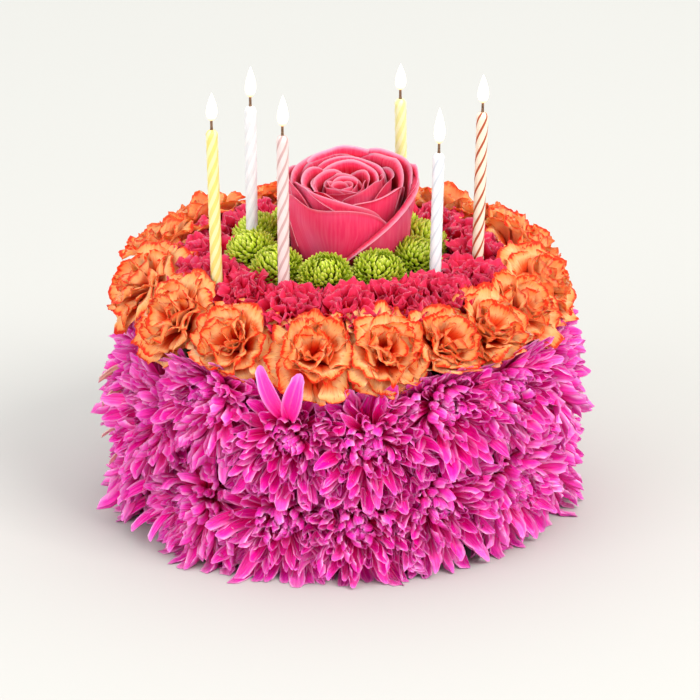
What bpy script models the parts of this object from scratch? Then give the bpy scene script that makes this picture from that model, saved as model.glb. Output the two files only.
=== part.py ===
"""Fresh-flower birthday cake.

A drum of wet floral foam is clad in cut flower heads: two rows of chrysanthemums round the side,
a ring of two-tone carnations on the shoulder, a ring of pink carnations inside it, a wreath of
button poms, and one open rose in the middle. Six thin candles are pushed into the foam.

Lengths are in millimetres up to the moment a mesh is written, which is in metres. +Z is up, the
front of the cake looks along -Y, and the origin is the middle of the foam's underside. Angles
round the cake start at the front and grow towards +X.
"""
import math
import random

import bmesh
import bpy
from mathutils import Vector

# ---------------------------------------------------------------------------
# Driving dimensions
# ---------------------------------------------------------------------------
MM = 0.001
GAP = 0.3                     # left between pieces that press on each other

FOAM_RADIUS = 80.0
FOAM_HEIGHT = 104.0
FOAM_BEVEL = 8.0

CANDLE_RADIUS = 2.75
WICK_RADIUS = 0.55
WICK_LENGTH = 5.0
CANDLE_DEPTH = 18.0           # how far a candle is pushed into the foam
BORE_RADIUS = 3.5

# where each candle leaves the flowers (x, y), height of its wick's tip, lean to the right
CANDLES = {
    "candle_1": (-58.0, -38.7, 199.0, -1.4),
    "candle_2": (-42.6, 5.6, 195.5, -0.4),
    "candle_3": (-27.5, -51.3, 200.6, -0.3),
    "candle_4": (26.3, 43.7, 186.5, -0.7),
    "candle_5": (40.8, -34.4, 186.6, 1.4),
    "candle_6": (60.4, -15.8, 199.8, 1.4),
}
FLOWER_TOP = 120.0            # height at which the candles leave the flowers

# the two carnation rings sit a little to the left of the drum's axis
CROWN_CENTRE = (-1.2, 0.0)
ORANGE_RING = 88.5
ORANGE_RADIUS = 19.5
ORANGE_UPTURN = 42.0
# angle and height of the orange heads; the last two stand together at the back
ORANGE_PLACES = (
    (-84, 109), (-57, 106), (-33, 104), (-8, 104), (13, 104), (31, 104), (47, 104.5), (64, 106),
    (85, 108), (109, 109.5), (128, 110), (147, 110), (225, 112), (250, 111),
)
ORANGE_BACK_PLACES = ((174.5, 111.5), (197.5, 112))

# angle and distance of the pink heads; the last few stand together at the back
PINK_PLACES = (
    (-68, 66), (-42, 64), (-19, 69), (2, 67), (23, 66), (42, 67), (62, 67),
    (89, 64), (114, 63), (137, 63), (163, 63),
)
PINK_BACK_PLACES = ((190, 63), (216, 63), (242, 63), (267, 64))
PINK_HEIGHT = 112.0
PINK_RADIUS = 19.5
PINK_UPTURN = 78.0

WREATH_CENTRE = (-4.0, -4.0)
WREATH_RING = 40.0
WREATH_HEIGHT = 125.5
BUTTON_RADIUS = 11.8
BUTTON_COUNT = 10
BUTTON_START = -7.0
BUTTON_NECK = 8.0             # least thickness of the wreath between two buttons

# angle and height of the chrysanthemums that face the front; the others share the back evenly
UPPER_FRONT = ((-64, 58), (-39, 79), (-15.5, 65), (7.5, 64), (28, 77), (51, 79))
UPPER_COUNT = 13
UPPER_HEIGHT = 72.0
LOWER_FRONT = ((-45, 26), (-17, 27), (4, 25), (26, 33), (53, 33))
LOWER_COUNT = 11
LOWER_HEIGHT = 27.0
MUM_RING = 89.5
MUM_RADIUS = 29.0
MUM_REACH = 112.0             # where the outermost petal tips end, from the drum's axis
MUM_FOOT = 106.0              # the same at the bottom edge

ROSE_HEART = (3.0, 0.0, 138.0)
ROSE_TILT = 9.0               # the open face leans towards the front


# ---------------------------------------------------------------------------
# Clean scene and collections
# ---------------------------------------------------------------------------
for old in list(bpy.data.objects):
    bpy.data.objects.remove(old, do_unlink=True)

cake = bpy.data.collections.new("flower_cake")
cutters = bpy.data.collections.new("cutters")
bpy.context.scene.collection.children.link(cake)
bpy.context.scene.collection.children.link(cutters)


# ---------------------------------------------------------------------------
# Materials
# ---------------------------------------------------------------------------
def material(name, colour, roughness):
    """One Principled material; colour is linear RGB."""
    mat = bpy.data.materials.new(name)
    mat.use_nodes = True
    shader = mat.node_tree.nodes["Principled BSDF"]
    shader.inputs["Base Color"].default_value = (*colour, 1.0)
    shader.inputs["Roughness"].default_value = roughness
    shader.inputs["Metallic"].default_value = 0.0
    return mat


FOAM = material("floral_foam", (0.05, 0.12, 0.06), 0.95)
MUM = material("magenta_petal", (0.72, 0.03, 0.36), 0.55)
ORANGE = material("orange_petal", (0.80, 0.20, 0.06), 0.60)
PINK = material("crimson_petal", (0.68, 0.03, 0.08), 0.60)
BUTTON = material("lime_floret", (0.28, 0.36, 0.02), 0.60)
ROSE = material("rose_petal", (0.78, 0.07, 0.18), 0.50)
WAX_YELLOW = material("yellow_wax", (0.95, 0.85, 0.45), 0.35)
WAX_WHITE = material("white_wax", (0.92, 0.90, 0.86), 0.35)
WAX_PINK = material("pink_wax", (0.92, 0.68, 0.66), 0.35)
WAX_RED = material("red_striped_wax", (0.85, 0.45, 0.33), 0.35)
CANDLE_WAX = {
    "candle_1": WAX_YELLOW,
    "candle_2": WAX_WHITE,
    "candle_3": WAX_PINK,
    "candle_4": WAX_YELLOW,
    "candle_5": WAX_WHITE,
    "candle_6": WAX_RED,
}


# ---------------------------------------------------------------------------
# Placing round the cake
# ---------------------------------------------------------------------------
def around(angle, distance, height, centre=(0.0, 0.0)):
    """Point at an angle round the cake, a distance out from centre, at a height."""
    a = math.radians(angle)
    return Vector((centre[0] + distance * math.sin(a), centre[1] - distance * math.cos(a), height))


def outward(angle, upturn):
    """Unit vector that looks out at an angle round the cake, turned up by upturn degrees."""
    a, u = math.radians(angle), math.radians(upturn)
    return Vector((math.sin(a) * math.cos(u), -math.cos(a) * math.cos(u), math.sin(u)))


def fill_row(front, count, height, wobble, seed):
    """The given front heads, then the rest of the row spread evenly over the back."""
    rng = random.Random(seed)
    row = list(front)
    rest = count - len(front)
    first, last = front[0][0] + 360.0, front[-1][0]
    for k in range(1, rest + 1):
        angle = last + (first - last) * k / (rest + 1)
        row.append((angle, height + rng.uniform(-wobble, wobble)))
    return row


# ---------------------------------------------------------------------------
# Where every head sits: heart, the way it faces, its radius
# ---------------------------------------------------------------------------
heads = {}
for k, (angle, height) in enumerate(fill_row(UPPER_FRONT, UPPER_COUNT, UPPER_HEIGHT, 6.0, 3)):
    heads[f"chrysanthemum_upper_{k + 1:02d}"] = (
        around(angle, MUM_RING, height), outward(angle, 8.0), MUM_RADIUS)
for k, (angle, height) in enumerate(fill_row(LOWER_FRONT, LOWER_COUNT, LOWER_HEIGHT, 3.0, 5)):
    heads[f"chrysanthemum_lower_{k + 1:02d}"] = (
        around(angle, MUM_RING - 1.0, height), outward(angle, 0.0), MUM_RADIUS)
for k, (angle, height) in enumerate(ORANGE_PLACES):
    heads[f"orange_carnation_{k + 1:02d}"] = (
        around(angle, ORANGE_RING, height, CROWN_CENTRE),
        outward(angle, ORANGE_UPTURN), ORANGE_RADIUS)
orange_back_names = ("orange_carnations_back", "orange_back_head")
for name, (angle, height) in zip(orange_back_names, ORANGE_BACK_PLACES):
    heads[name] = (
        around(angle, ORANGE_RING, height, CROWN_CENTRE),
        outward(angle, ORANGE_UPTURN), ORANGE_RADIUS)
for k, (angle, distance) in enumerate(PINK_PLACES):
    heads[f"pink_carnation_{k + 1:02d}"] = (
        around(angle, distance, PINK_HEIGHT, CROWN_CENTRE),
        outward(angle, PINK_UPTURN), PINK_RADIUS)
back_names = ["pink_carnations_back"]
back_names += [f"back_head_{k + 1}" for k in range(1, len(PINK_BACK_PLACES))]
for name, (angle, distance) in zip(back_names, PINK_BACK_PLACES):
    heads[name] = (
        around(angle, distance, PINK_HEIGHT, CROWN_CENTRE),
        outward(angle, PINK_UPTURN), PINK_RADIUS)

buttons = []
for k in range(BUTTON_COUNT):
    angle = BUTTON_START + 360.0 * k / BUTTON_COUNT
    buttons.append(around(angle, WREATH_RING, WREATH_HEIGHT, WREATH_CENTRE))


def candle_axis(name):
    """Foot and wick-tip points of a candle, and the unit vector between them."""
    x, y, tip_height, lean = CANDLES[name]
    slope = math.tan(math.radians(lean))
    foot_height = FOAM_HEIGHT - CANDLE_DEPTH
    foot = Vector((x - slope * (FLOWER_TOP - foot_height), y, foot_height))
    tip = Vector((x + slope * (tip_height - FLOWER_TOP), y, tip_height))
    return foot, tip, (tip - foot).normalized()


# ---------------------------------------------------------------------------
# Walls: each is a plane (normal, offset) that a head stays behind
# ---------------------------------------------------------------------------
def foam_wall(facing):
    """Plane that touches the foam drum on the side the head faces."""
    rim = math.hypot(facing.x, facing.y)
    profile = (
        (FOAM_RADIUS, 0.0),
        (FOAM_RADIUS, FOAM_HEIGHT - FOAM_BEVEL),
        (FOAM_RADIUS - FOAM_BEVEL, FOAM_HEIGHT),
    )
    reach = max(r * rim + z * facing.z for r, z in profile)
    return -facing, -(reach + GAP)


def neighbour_walls(name):
    """Planes halfway to each nearby head, nearer to the smaller one."""
    heart, _, radius = heads[name]
    walls = []
    for other, (there, _, size) in heads.items():
        gap = there - heart
        reach = gap.length
        if other == name or reach > radius + size + 12.0:
            continue
        share = (reach * reach + radius * radius - size * size) / (2.0 * reach)
        normal = gap / reach
        # the heads that stand together at the back grow into one another instead
        together = any(name in row and other in row for row in (back_names, orange_back_names))
        clear = -5.0 if together else GAP / 2.0
        walls.append((normal, normal.dot(heart) + share - clear))
    return walls


def ball_walls(heart, balls, size):
    """Planes that touch each ball on the side towards the heart."""
    walls = []
    for ball in balls:
        normal = (ball - heart).normalized()
        walls.append((normal, normal.dot(ball) - size - GAP))
    return walls


def candle_walls(heart):
    """Planes that touch each candle on the side towards the heart."""
    walls = []
    for name in CANDLES:
        foot, _, axis = candle_axis(name)
        near = foot + axis * (heart - foot).dot(axis)
        normal = (near - heart).normalized()
        walls.append((normal, normal.dot(near) - CANDLE_RADIUS - GAP))
    return walls


def press(heart, direction, reach, walls):
    """Shorten a ray from the heart until it stays behind every wall."""
    for normal, offset in walls:
        slope = normal.dot(direction)
        if slope > 1e-6:
            reach = min(reach, (offset - normal.dot(heart)) / slope)
    return reach


# ---------------------------------------------------------------------------
# Heads: a sphere whose rings are drawn out into tiers of petals
# ---------------------------------------------------------------------------
def sphere_object(name, columns, rows, shape, mat):
    """A UV sphere whose every point is moved to shape(ring, column)."""
    mesh = bpy.data.meshes.new(name)
    bm = bmesh.new()
    bmesh.ops.create_uvsphere(bm, u_segments=columns, v_segments=rows, radius=1.0)
    for vert in bm.verts:
        polar = math.acos(max(-1.0, min(1.0, vert.co.z)))
        turn = math.atan2(vert.co.y, vert.co.x) % (2.0 * math.pi)
        ring = round(polar / math.pi * rows)
        column = round(turn / (2.0 * math.pi) * columns) % columns
        vert.co = shape(ring, column) * MM
    bm.to_mesh(mesh)
    bm.free()
    mesh.materials.append(mat)
    obj = bpy.data.objects.new(name, mesh)
    cake.objects.link(obj)
    return obj


def frame_for(facing):
    """Two unit vectors square to the facing direction."""
    side = Vector((0.0, 0.0, 1.0)).cross(facing)
    if side.length < 1e-3:
        side = Vector((1.0, 0.0, 0.0))
    side.normalize()
    return side, facing.cross(side)


def flower_head(name, columns, tiers, ruffle, mat, extra_walls=(), reach_limit=None):
    """One head. tiers lists polar angle, tip and notch reach (of the radius) and depth reach."""
    heart, facing, radius = heads[name]
    side, rise = frame_for(facing)
    walls = neighbour_walls(name) + candle_walls(heart) + list(extra_walls)
    walls.append(foam_wall(facing))
    walls.append((Vector((0.0, 0.0, -1.0)), -0.5))
    rng = random.Random(name)
    twist = rng.uniform(0.0, 2.0 * math.pi)

    def shape(ring, column):
        polar, tip, notch = tiers[ring]
        polar = math.radians(polar)
        turn = twist + 2.0 * math.pi * (column + 0.5 * (ring % 2)) / columns
        direction = (
            facing * math.cos(polar)
            + (side * math.cos(turn) + rise * math.sin(turn)) * math.sin(polar)
        )
        reach = radius * (tip if (column + ring) % 2 == 0 else notch)
        reach *= 1.0 + rng.uniform(-ruffle, ruffle)
        reach = press(heart, direction, reach, walls)
        if reach_limit is not None:
            reach = reach_limit(heart, direction, reach)
        return heart + direction * reach

    return sphere_object(name, columns, len(tiers) - 1, shape, mat)


def within_drum(heart, direction, reach):
    """Keep side petals inside the cake's outline, which draws in at the foot."""
    for _ in range(24):
        point = heart + direction * reach
        limit = MUM_FOOT + (MUM_REACH - MUM_FOOT) * min(1.0, max(0.0, point.z / 26.0))
        if math.hypot(point.x, point.y) <= limit:
            break
        reach *= 0.985
    return reach


# polar angle from the way the head faces, reach of a petal tip, reach of the notch beside it
MUM_TIERS = (
    (0, 0.54, 0.54), (26, 0.80, 0.60), (54, 1.00, 0.78),
    (84, 1.14, 0.96), (122, 1.08, 0.94), (180, 1.6, 1.6),
)
CARNATION_TIERS = (
    (0, 0.80, 0.80), (27, 0.98, 0.80), (54, 1.06, 0.88),
    (84, 1.08, 0.96), (122, 0.90, 0.78), (180, 2.0, 2.0),
)

for name in heads:
    if name.startswith("chrysanthemum"):
        flower_head(name, 18, MUM_TIERS, 0.04, MUM, reach_limit=within_drum)
    elif name.startswith("orange"):
        flower_head(name, 16, CARNATION_TIERS, 0.05, ORANGE)
    else:
        inner = ball_walls(heads[name][0], buttons, BUTTON_RADIUS)
        flower_head(name, 14, CARNATION_TIERS, 0.06, PINK, extra_walls=inner)

# the heads at the back become one piece of each colour
for names in (back_names, orange_back_names):
    back_row = bpy.data.objects[names[0]]
    for name in names[1:]:
        other = bpy.data.objects[name]
        cake.objects.unlink(other)
        cutters.objects.link(other)
        other.hide_render = True
        other.display_type = "WIRE"
        join = back_row.modifiers.new(name, "BOOLEAN")
        join.operation = "UNION"
        join.solver = "EXACT"
        join.object = other


# ---------------------------------------------------------------------------
# Rose: a tilted cup with a spiral of petal rims on its open face
# ---------------------------------------------------------------------------
ROSE_COLUMNS = 28
ROSE_FACE_STEP = 8.0          # two rings of points for each lap of the spiral
ROSE_POLAR = [ROSE_FACE_STEP * k for k in range(8)] + [64, 74, 88, 104, 122, 142, 162, 180]
# polar angle and reach in millimetres, from the middle of the open face to the stalk
ROSE_OUTLINE = (
    (0, 19.0), (12, 19.6), (26, 21.0), (40, 24.6), (52, 30.0), (60, 33.5), (68, 32.5),
    (80, 29.6), (95, 28.0), (112, 26.6), (130, 25.0), (150, 22.5), (166, 22.0), (180, 40.0),
)


def rose_reach(polar):
    """Reach of the outline at a polar angle, by straight steps between its points."""
    for (a, near), (b, far) in zip(ROSE_OUTLINE, ROSE_OUTLINE[1:]):
        if polar <= b:
            return near + (far - near) * (polar - a) / (b - a)
    return ROSE_OUTLINE[-1][1]


def rose():
    """The open rose on its calyx."""
    heart = Vector(ROSE_HEART)
    facing = outward(0.0, 90.0 - ROSE_TILT)
    side, rise = frame_for(facing)
    walls = ball_walls(heart, buttons, BUTTON_RADIUS)
    walls.append((Vector((0.0, 0.0, -1.0)), -(FOAM_HEIGHT + GAP)))

    def shape(ring, column):
        polar = ROSE_POLAR[ring]
        turn = 2.0 * math.pi * column / ROSE_COLUMNS
        reach = rose_reach(polar)
        if ring and polar < 60.0:
            # the petal rims wind outwards, with a hollow behind each lap
            lap = (polar / (2.0 * ROSE_FACE_STEP) - turn / (2.0 * math.pi)) % 1.0
            reach *= 1.07 - 0.22 * lap
        elif 60.0 < polar < 180.0:
            # five broad outer petals, each one's edge standing over the next
            lap = (5.0 * turn / (2.0 * math.pi) + polar / 90.0) % 1.0
            reach *= 1.03 - 0.07 * lap
        direction = (
            facing * math.cos(math.radians(polar))
            + (side * math.cos(turn) + rise * math.sin(turn)) * math.sin(math.radians(polar))
        )
        return heart + direction * press(heart, direction, reach, walls)

    return sphere_object("rose", ROSE_COLUMNS, len(ROSE_POLAR) - 1, shape, ROSE)


rose()


# ---------------------------------------------------------------------------
# Wreath of button poms: a torus swollen into ten balls, a short stalk under each
# ---------------------------------------------------------------------------
WREATH_STEPS = 4              # cross-sections for each button
WREATH_SIDES = 8


def wreath():
    """Ten button poms grown into one another, with the hole for the candle among them."""
    around_steps = BUTTON_COUNT * WREATH_STEPS
    bpy.ops.mesh.primitive_torus_add(
        major_segments=around_steps, minor_segments=WREATH_SIDES,
        major_radius=1.0, minor_radius=0.25)
    obj = bpy.context.object
    obj.name = "button_poms"
    obj.data.name = "button_poms"
    spacing = 2.0 * WREATH_RING * math.sin(math.pi / BUTTON_COUNT)
    middle = Vector((*WREATH_CENTRE, WREATH_HEIGHT))
    others = [candle_axis(name) for name in CANDLES if name != "candle_2"]
    for vert in obj.data.vertices:
        turn = math.atan2(vert.co.y, vert.co.x) % (2.0 * math.pi)
        out = math.hypot(vert.co.x, vert.co.y) - 1.0
        side = math.atan2(vert.co.z, out)
        step = round(turn / (2.0 * math.pi) * around_steps) % around_steps
        away = abs((step % WREATH_STEPS) - WREATH_STEPS / 2.0) / WREATH_STEPS
        # steps that are multiples of WREATH_STEPS lie on a button's middle
        away = (0.5 - away) * spacing
        swell = math.sqrt(max(BUTTON_NECK ** 2, BUTTON_RADIUS ** 2 - away ** 2))
        swell = min(swell, math.sqrt(max(1.0, BUTTON_RADIUS ** 2 - away ** 2)) + 2.4)
        reach = swell
        if math.sin(side) < -0.99 and away < 1.0:
            reach = WREATH_HEIGHT - FOAM_HEIGHT - GAP
        angle = math.radians(BUTTON_START) + 2.0 * math.pi * step / around_steps
        ring = WREATH_RING + reach * math.cos(side)
        point = middle + Vector((
            ring * math.sin(angle), -ring * math.cos(angle), reach * math.sin(side)))
        for foot, _, axis in others:
            near = foot + axis * (point - foot).dot(axis)
            clear = CANDLE_RADIUS + 3.0 * GAP
            if (point - near).length < clear:
                point = near + (point - near).normalized() * clear
        vert.co = point * MM
    bm = bmesh.new()
    bm.from_mesh(obj.data)
    bmesh.ops.recalc_face_normals(bm, faces=bm.faces)
    bm.to_mesh(obj.data)
    bm.free()
    obj.data.materials.append(BUTTON)
    for owner in list(obj.users_collection):
        owner.objects.unlink(obj)
    cake.objects.link(obj)
    return obj


poms = wreath()


# ---------------------------------------------------------------------------
# Foam drum
# ---------------------------------------------------------------------------
def turned(name, profile, steps, mat):
    """A turned piece: profile of (radius, height) in millimetres from its top to its bottom."""
    mesh = bpy.data.meshes.new(name)
    bm = bmesh.new()
    verts = [bm.verts.new((r * MM, 0.0, z * MM)) for r, z in profile]
    for a, b in zip(verts, verts[1:]):
        bm.edges.new((a, b))
    bm.to_mesh(mesh)
    bm.free()
    mesh.materials.append(mat)
    obj = bpy.data.objects.new(name, mesh)
    cake.objects.link(obj)
    screw = obj.modifiers.new("turn", "SCREW")
    screw.axis = "Z"
    screw.steps = steps
    screw.render_steps = steps
    screw.use_merge_vertices = True
    screw.merge_threshold = 0.00001
    screw.use_smooth_shade = False
    return obj


foam = turned("foam_core", (
    (0.0, FOAM_HEIGHT),
    (FOAM_RADIUS - FOAM_BEVEL, FOAM_HEIGHT),
    (FOAM_RADIUS, FOAM_HEIGHT - FOAM_BEVEL),
    (FOAM_RADIUS, 0.0),
    (0.0, 0.0),
), 48, FOAM)


# ---------------------------------------------------------------------------
# Candles, and the holes they stand in
# ---------------------------------------------------------------------------
def stand(obj, foot, axis):
    """Stand a turned piece on its foot, its own Z along the axis."""
    obj.rotation_mode = "QUATERNION"
    obj.rotation_quaternion = Vector((0.0, 0.0, 1.0)).rotation_difference(axis)
    obj.location = foot * MM


def bore(name, foot, axis, length):
    """A cutter along a candle, reaching a gap's depth below its foot."""
    mesh = bpy.data.meshes.new(name)
    bm = bmesh.new()
    bmesh.ops.create_cone(
        bm, cap_ends=True, segments=12, radius1=BORE_RADIUS * MM, radius2=BORE_RADIUS * MM,
        depth=length * MM)
    bmesh.ops.translate(bm, verts=bm.verts, vec=(0.0, 0.0, (length / 2.0 - GAP) * MM))
    bm.to_mesh(mesh)
    bm.free()
    obj = bpy.data.objects.new(name, mesh)
    cutters.objects.link(obj)
    obj.hide_render = True
    obj.display_type = "WIRE"
    stand(obj, foot, axis)
    return obj


def cut(obj, cutter):
    """Take the cutter away from the piece."""
    boolean = obj.modifiers.new(cutter.name, "BOOLEAN")
    boolean.operation = "DIFFERENCE"
    boolean.solver = "EXACT"
    boolean.object = cutter


for name in CANDLES:
    foot, tip, axis = candle_axis(name)
    length = (tip - foot).length
    wax = length - WICK_LENGTH
    candle = turned(name, (
        (0.0, length),
        (WICK_RADIUS, length),
        (WICK_RADIUS, wax + 0.4),
        (CANDLE_RADIUS - 0.7, wax),
        (CANDLE_RADIUS, wax - 0.9),
        (CANDLE_RADIUS, 0.0),
        (0.0, 0.0),
    ), 9, CANDLE_WAX[name])
    stand(candle, foot, axis)
    cutter = bore(f"bore_{name}", foot, axis, CANDLE_DEPTH + 60.0)
    cut(foam, cutter)
    if name == "candle_2":
        cut(poms, cutter)
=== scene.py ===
import math
import random

import bpy
import numpy as np
from mathutils import Matrix, Vector


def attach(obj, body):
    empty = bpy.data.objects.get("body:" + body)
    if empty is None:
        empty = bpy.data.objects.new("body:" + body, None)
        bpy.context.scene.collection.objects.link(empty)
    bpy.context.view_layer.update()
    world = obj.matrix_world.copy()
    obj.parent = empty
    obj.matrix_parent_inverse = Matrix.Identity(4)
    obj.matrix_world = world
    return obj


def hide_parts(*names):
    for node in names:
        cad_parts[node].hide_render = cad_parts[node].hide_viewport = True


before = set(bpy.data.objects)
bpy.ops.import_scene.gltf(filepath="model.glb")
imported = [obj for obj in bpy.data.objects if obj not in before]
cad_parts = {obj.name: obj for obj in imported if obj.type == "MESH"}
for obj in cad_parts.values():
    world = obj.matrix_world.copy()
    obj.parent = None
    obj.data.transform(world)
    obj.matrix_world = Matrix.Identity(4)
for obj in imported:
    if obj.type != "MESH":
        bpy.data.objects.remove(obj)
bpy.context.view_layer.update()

# ===========================================================================
# Foam core
# A drum of wet floral foam holds every stem and candle. It is pressed
# phenolic foam, dark green when soaked, cut with a wire and full of pores.
# ===========================================================================
MM = 0.001


def linear(hex_colour):
    """An sRGB hex colour as linear RGBA."""
    channels = [int(hex_colour[k:k + 2], 16) / 255.0 for k in (1, 3, 5)]
    return tuple(
        c / 12.92 if c <= 0.04045 else ((c + 0.055) / 1.055) ** 2.4 for c in channels) + (1.0,)


def add_node(tree, kind, inputs=None, stops=(), **settings):
    """Add one node. A socket given as an input is linked and anything else is its value;
    stops are the (position, hex colour) stops of a colour ramp."""
    node = tree.nodes.new(kind)
    for key, value in settings.items():
        setattr(node, key, value)
    for key, value in (inputs or {}).items():
        if isinstance(value, bpy.types.NodeSocket):
            tree.links.new(value, node.inputs[key])
        else:
            node.inputs[key].default_value = (
                linear(value) if isinstance(value, str) and value[0] == "#" else value)
    for k, (position, colour) in enumerate(stops):
        stop = node.color_ramp.elements[k] if k < 2 else node.color_ramp.elements.new(position)
        stop.position = position
        stop.color = linear(colour)
    return node


def new_material(name, **values):
    """A material, its node tree and its shader, with plain values set on the shader."""
    mat = bpy.data.materials.new(name)
    mat.use_nodes = True
    shader = mat.node_tree.nodes["Principled BSDF"]
    for key, value in values.items():
        shader.inputs[key.replace("_", " ")].default_value = value
    return mat, mat.node_tree, shader


def finish_surface(tree, shader, colour, grain, dull, satin, bump, depth, relief=None):
    """Link a surface's colour, and let its grain set the roughness and the relief.

    The roughness runs from dull to satin as the grain runs from 0.3 to 0.7. bump is the strength
    of the relief and depth its height in mm; it follows the grain unless relief is given.
    """
    rough = add_node(tree, "ShaderNodeMapRange", {
        "Value": grain, "From Min": 0.3, "From Max": 0.7, "To Min": dull, "To Max": satin}).outputs[0]
    normal = add_node(tree, "ShaderNodeBump", {
        "Height": grain if relief is None else relief, "Strength": bump,
        "Distance": depth * MM}).outputs["Normal"]
    tree.links.new(colour, shader.inputs["Base Color"])
    tree.links.new(rough, shader.inputs["Roughness"])
    tree.links.new(normal, shader.inputs["Normal"])


# wet phenolic foam: dark green, dull, pores of about 0.8 mm with deeper pits
foam_mat, tree, shader = new_material("wet_floral_foam", IOR=1.45)
place = add_node(tree, "ShaderNodeTexCoord").outputs["Object"]
pores = add_node(tree, "ShaderNodeTexNoise", {
    "Vector": place, "Scale": 1 / (0.8 * MM), "Detail": 4.0}).outputs["Fac"]
tone = add_node(tree, "ShaderNodeValToRGB", {"Fac": pores},
                stops=((0.35, "#1A361C"), (0.70, "#42703A"))).outputs["Color"]
finish_surface(tree, shader, tone, pores, dull=0.70, satin=0.95, bump=0.8, depth=0.5)
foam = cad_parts["foam_core"]
foam.data.materials.clear()
foam.data.materials.append(foam_mat)

# ===========================================================================
# Chrysanthemums
# Two rows of spray chrysanthemums clad the side. Each head is a whorl of
# strap petals, hooded and tight round the eye, long and grooved outside,
# and where two heads meet their petals crowd and stand out.
# ===========================================================================
# angle from the front and height of the heads that face the front, then the rows' counts
UPPER_FRONT = ((-64, 58), (-39, 79), (-15.5, 65), (7.5, 64), (28, 77), (51, 79))
UPPER_COUNT = 13
UPPER_HEIGHT = 72.0
LOWER_FRONT = ((-45, 26), (-17, 27), (4, 25), (26, 33), (53, 33))
LOWER_COUNT = 11
LOWER_HEIGHT = 27.0
MUM_RING = 89.5
MUM_RADIUS = 29.0
GOLDEN_ANGLE = math.radians(137.508)


def around(angle, distance, height, centre=(0.0, 0.0)):
    """Point at an angle round the cake from its front, a distance out, at a height, in mm."""
    a = math.radians(angle)
    return Vector((centre[0] + distance * math.sin(a), centre[1] - distance * math.cos(a), height))


def outward(angle, upturn):
    """Unit vector that looks out at an angle round the cake, turned up by upturn degrees."""
    a, u = math.radians(angle), math.radians(upturn)
    return Vector((math.sin(a) * math.cos(u), -math.cos(a) * math.cos(u), math.sin(u)))


def fill_row(front, count, height, wobble, seed):
    """The front heads of a row, then the rest spread evenly over the back."""
    rng = random.Random(seed)
    row = list(front)
    rest = count - len(front)
    first, last = front[0][0] + 360.0, front[-1][0]
    for k in range(1, rest + 1):
        row.append((last + (first - last) * k / (rest + 1), height + rng.uniform(-wobble, wobble)))
    return row


heads = {}               # name: (heart, facing, radius) in mm
for k, (angle, height) in enumerate(fill_row(UPPER_FRONT, UPPER_COUNT, UPPER_HEIGHT, 6.0, 3)):
    heads[f"chrysanthemum_upper_{k + 1:02d}"] = (
        around(angle, MUM_RING, height), outward(angle, 8.0), MUM_RADIUS)
for k, (angle, height) in enumerate(fill_row(LOWER_FRONT, LOWER_COUNT, LOWER_HEIGHT, 3.0, 5)):
    heads[f"chrysanthemum_lower_{k + 1:02d}"] = (
        around(angle, MUM_RING - 1.0, height), outward(angle, 0.0), MUM_RADIUS)


def split_rim(mesh, rim):
    """Keep the two faces of a thin petal apart in shade, along the edges between rim points."""
    flags = [e.vertices[0] in rim and e.vertices[1] in rim for e in mesh.edges]
    mesh.attributes.new("sharp_edge", "BOOLEAN", "EDGE").data.foreach_set("value", flags)


def mark_points(mesh, **marks):
    """Store a value for each point of a mesh, under each name."""
    for label, values in marks.items():
        mesh.attributes.new(label, "FLOAT", "POINT").data.foreach_set("value", values)


def add_to_scene(name, data):
    """An object in the scene that shows a mesh, or is a lamp or a camera."""
    obj = bpy.data.objects.new(name, data)
    bpy.context.scene.collection.objects.link(obj)
    return obj


def petal_mesh(name, cols, rows, half_width, slope, dish, tip_round, thick, mat, jag=0.0,
               sway=0.0, crowd=1.0):
    """A closed thin petal of unit length and width: base at the origin, tip along +X, face up.

    half_width(v), slope(v) in degrees and dish(u, v) give its outline, the way it curls along
    its length and the height of its upper face; u runs across from -1 to 1, v from base to tip.
    tip_round draws the corners of the tip back, jag notches it at every other column, sway
    carries the tip to one side and crowd, below 1, sets the rows closer towards the tip.
    """
    fine = 60
    spine = [(0.0, 0.0)]
    for k in range(fine):
        a = math.radians(slope((k + 0.5) / fine))
        spine.append((spine[-1][0] + math.cos(a) / fine, spine[-1][1] + math.sin(a) / fine))

    verts, marks, index, faces = [], [], {}, []
    for side in (0, 1):
        for r in range(rows + 1):
            for c in range(cols + 1):
                if side and (r in (0, rows) or c in (0, cols)):
                    index[1, r, c] = index[0, r, c]
                    continue
                v = (r / rows) ** crowd
                u = 2.0 * c / cols - 1.0
                s = v * (1.0 - tip_round * u * u * v * v)
                if r == rows:
                    s += jag * (0.5 - c % 2)
                at = min(fine - 1e-6, max(0.0, s * fine))
                k = int(at)
                x = spine[k][0] + (spine[k + 1][0] - spine[k][0]) * (at - k)
                z = spine[k][1] + (spine[k + 1][1] - spine[k][1]) * (at - k)
                a = math.radians(slope(min(1.0, s)))
                lift = dish(u, v) - (thick if side else 0.0)
                verts.append((x - math.sin(a) * lift, u * half_width(v) + sway * v * v,
                              z + math.cos(a) * lift))
                marks.append((v, u, float(side)))
                index[side, r, c] = len(verts) - 1
    for side in (0, 1):
        for r in range(rows):
            for c in range(cols):
                loop = [index[side, r, c], index[side, r + 1, c],
                        index[side, r + 1, c + 1], index[side, r, c + 1]]
                faces.append(loop if side else loop[::-1])
    mesh = bpy.data.meshes.new(name)
    mesh.from_pydata(verts, [], faces)
    mark_points(mesh, **dict(zip(("along", "across", "back"), zip(*marks))))
    mesh.shade_smooth()
    split_rim(mesh, {index[1, r, c] for r in range(rows + 1) for c in range(cols + 1)
                     if r in (0, rows) or c in (0, cols)})
    mesh.materials.append(mat)
    return mesh


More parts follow.
